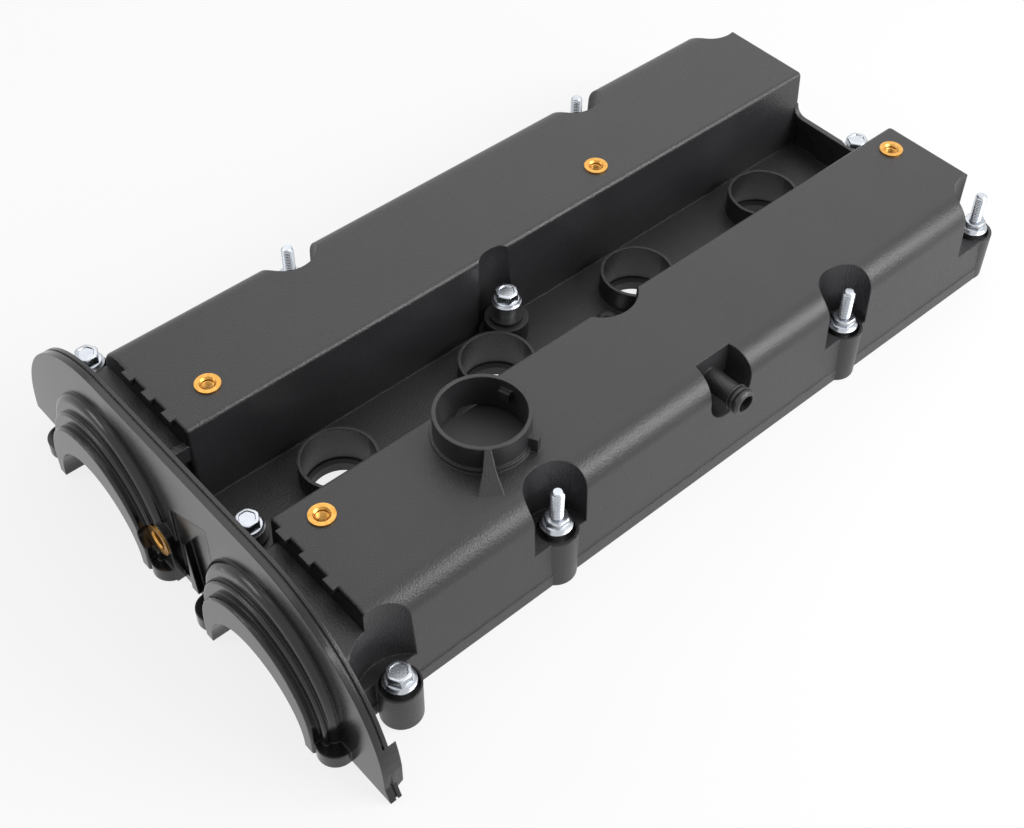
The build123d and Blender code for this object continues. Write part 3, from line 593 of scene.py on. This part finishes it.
def shank(bm, centre, low, high, tip_up):
    """A threaded shank with a chamfered tip at one end."""
    tip = THREAD_CORE - TIP_CHAMFER
    if tip_up:
        shoulder = high - TIP_CHAMFER
        section = [(0.0, low), (THREAD_CORE, low), (THREAD_CORE, shoulder), (tip, high), (0.0, high)]
        span = (low, shoulder)
    else:
        shoulder = low + TIP_CHAMFER
        section = [(0.0, low), (tip, low), (THREAD_CORE, shoulder), (THREAD_CORE, high), (0.0, high)]
        span = (shoulder, high)
    turn(bm, centre, section)
    thread(bm, centre, THREAD_RADIUS, THREAD_CORE, *span)


def merged(pieces):
    """Several bmeshes as one."""
    whole = bmesh.new()
    for piece in pieces:
        mesh = bpy.data.meshes.new("part")
        piece.to_mesh(mesh)
        piece.free()
        whole.from_mesh(mesh)
        bpy.data.meshes.remove(mesh)
    return whole


def clean(bm):
    """Closes the seams and poles, then turns the faces outwards."""
    bmesh.ops.remove_doubles(bm, verts=bm.verts, dist=PIECE_MERGE)
    bmesh.ops.recalc_face_normals(bm, faces=bm.faces)
    return bm


def centre_of(low, high):
    """The middle of a box seen from above, in millimetres."""
    return ((low.x + high.x) / 2 / MM, (low.y + high.y) / 2 / MM)


def fastener(name, length, stud):
    """One flange bolt or stud bolt; the top of the sleeve beneath says where its flange sits."""
    low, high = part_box("sleeve_" + name)
    centre = centre_of(low, high)
    seat = high.z / MM
    hex_top = seat + (STUD_HEX_TOP if stud else BOLT_HEAD_TOP)
    collar = bmesh.new()
    turn(collar, centre, collar_section(seat), closed=True)
    hexagon = bmesh.new()
    hex_bar(hexagon, centre, seat + HEX_FOOT, hex_top, dish=not stud)
    lower_shank = bmesh.new()
    shank(lower_shank, centre, seat - length, seat + SHANK_OVERLAP, tip_up=False)
    parts = [collar, hexagon, lower_shank]
    if stud:
        upper_shank = bmesh.new()
        shank(upper_shank, centre, hex_top - SHANK_OVERLAP, seat + STUD_ABOVE, tip_up=True)
        parts.append(upper_shank)
    return merged([clean(part) for part in parts])


def fasteners(name, replaced, lengths, stud=False):
    """All the fasteners of one kind as one piece, in place of their plain node."""
    pieces = [fastener(place, length, stud) for place, length in lengths.items()]
    piece = smooth_piece(name, merged(pieces), zinc)
    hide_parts(replaced)


def insert_threads():
    """The cut threads inside the brass inserts."""
    for name in TOP_INSERTS:
        low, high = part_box(name)
        bm = bmesh.new()
        foot = low.z / MM
        top = high.z / MM - INSERT_THREAD_DROP
        thread(bm, centre_of(low, high), INSERT_CREST, INSERT_BORE, foot, top, inward=True)
        smooth_piece(name + "_thread", clean(bm), brass)


fasteners("threaded_stud_bolts", "stud_bolts", STUD_SHANKS, stud=True)
fasteners("dished_long_bolts", "long_flange_bolts", LONG_BOLT_SHANKS)
fasteners("dished_short_bolt", "short_flange_bolt", SHORT_BOLT_SHANKS)
insert_threads()


# Stage, light and camera

def softbox(name, towards, distance, width, height, watts):
    """A soft rectangular light that faces the cover."""
    lamp = bpy.data.lights.new(name, "AREA")
    lamp.shape = "RECTANGLE"
    lamp.size = width
    lamp.size_y = height
    lamp.energy = watts
    light = bpy.data.objects.new(name, lamp)
    bpy.context.scene.collection.objects.link(light)
    direction = Vector(towards).normalized()
    light.location = SOFTBOX_AIM + direction * distance
    light.rotation_mode = "QUATERNION"
    light.rotation_quaternion = direction.to_track_quat("Z", "Y")


def seen_directly(graph):
    """1 for the camera's rays and for those mirrored in or passed by the object, else 0."""
    straight = graph.node("LightPath", output="Is Camera Ray")
    share = straight.greater_of(straight.beside("Is Glossy Ray"))
    return share.greater_of(straight.beside("Is Transmission Ray"))


def world_light():
    """Plain soft light that the camera sees as white."""
    world = bpy.data.worlds.new("studio")
    bpy.context.scene.world = world
    graph = Graph(world)
    soft = graph.node("Background", sockets={"Color": WHITE, "Strength": WORLD_STRENGTH})
    white = graph.node("Background", sockets={"Color": WHITE, "Strength": WHITE_STRENGTH})
    mixed = graph.node("MixShader", sockets={0: seen_directly(graph), 1: soft, 2: white})
    graph.end("OutputWorld", mixed)


def floor_white():
    """Matt pale grey with a glow for the camera, which keeps the cover's shadow."""
    material = bpy.data.materials.new("floor_white")
    graph = Graph(material)
    matt = graph.node("BsdfDiffuse", sockets={"Color": FLOOR_COLOUR})
    glow = graph.node("Emission", sockets={"Strength": WHITE_STRENGTH})
    share = seen_directly(graph) * FLOOR_GLOW
    mixed = graph.node("MixShader", sockets={0: share, 1: matt, 2: glow})
    graph.end("OutputMaterial", mixed)
    return material


def floor():
    """A wide pale floor under the cover."""
    bm = bmesh.new()
    bmesh.ops.create_grid(bm, x_segments=1, y_segments=1, size=FLOOR_HALF)
    bmesh.ops.translate(bm, vec=(0, 0, cad_low.z - FLOOR_DROP), verts=bm.verts)
    mesh = bpy.data.meshes.new("floor")
    bm.to_mesh(mesh)
    bm.free()
    mesh.materials.append(floor_white())
    obj = bpy.data.objects.new("floor", mesh)
    bpy.context.scene.collection.objects.link(obj)


def camera():
    """The photograph's viewpoint, with the shift that puts its optical centre back in place."""
    angles = (CAMERA_AZIMUTH, CAMERA_ELEVATION, CAMERA_ROLL)
    azimuth, elevation, roll = (radians(angle) for angle in angles)
    back = Vector((sin(azimuth) * cos(elevation), -cos(azimuth) * cos(elevation), sin(elevation)))
    right = (-back).cross(Vector((0, 0, 1))).normalized()
    up = right.cross(-back)
    turned_right = right * cos(roll) + up * sin(roll)
    turned_up = up * cos(roll) - right * sin(roll)
    data = bpy.data.cameras.new("camera")
    data.sensor_width = SENSOR_WIDTH
    data.lens = CAMERA_FOCUS_PIXELS * SENSOR_WIDTH / PHOTO_WIDTH
    data.shift_x = (PHOTO_WIDTH / 2 - CAMERA_CENTRE_PIXELS[0]) / PHOTO_WIDTH
    data.shift_y = (CAMERA_CENTRE_PIXELS[1] - PHOTO_HEIGHT / 2) / PHOTO_WIDTH
    data.clip_start = NEAREST_SEEN
    data.clip_end = FURTHEST_SEEN
    obj = bpy.data.objects.new("camera", data)
    bpy.context.scene.collection.objects.link(obj)
    columns = (turned_right, turned_up, back)
    rotation = Matrix([[column[i] for column in columns] for i in range(3)]).to_4x4()
    obj.matrix_world = Matrix.Translation(CAMERA_TARGET + back * CAMERA_DISTANCE) @ rotation
    bpy.context.scene.camera = obj


world_light()
floor()
for settings in SOFTBOXES:
    softbox(*settings)
camera()
bpy.context.scene.view_settings.view_transform = "Standard"
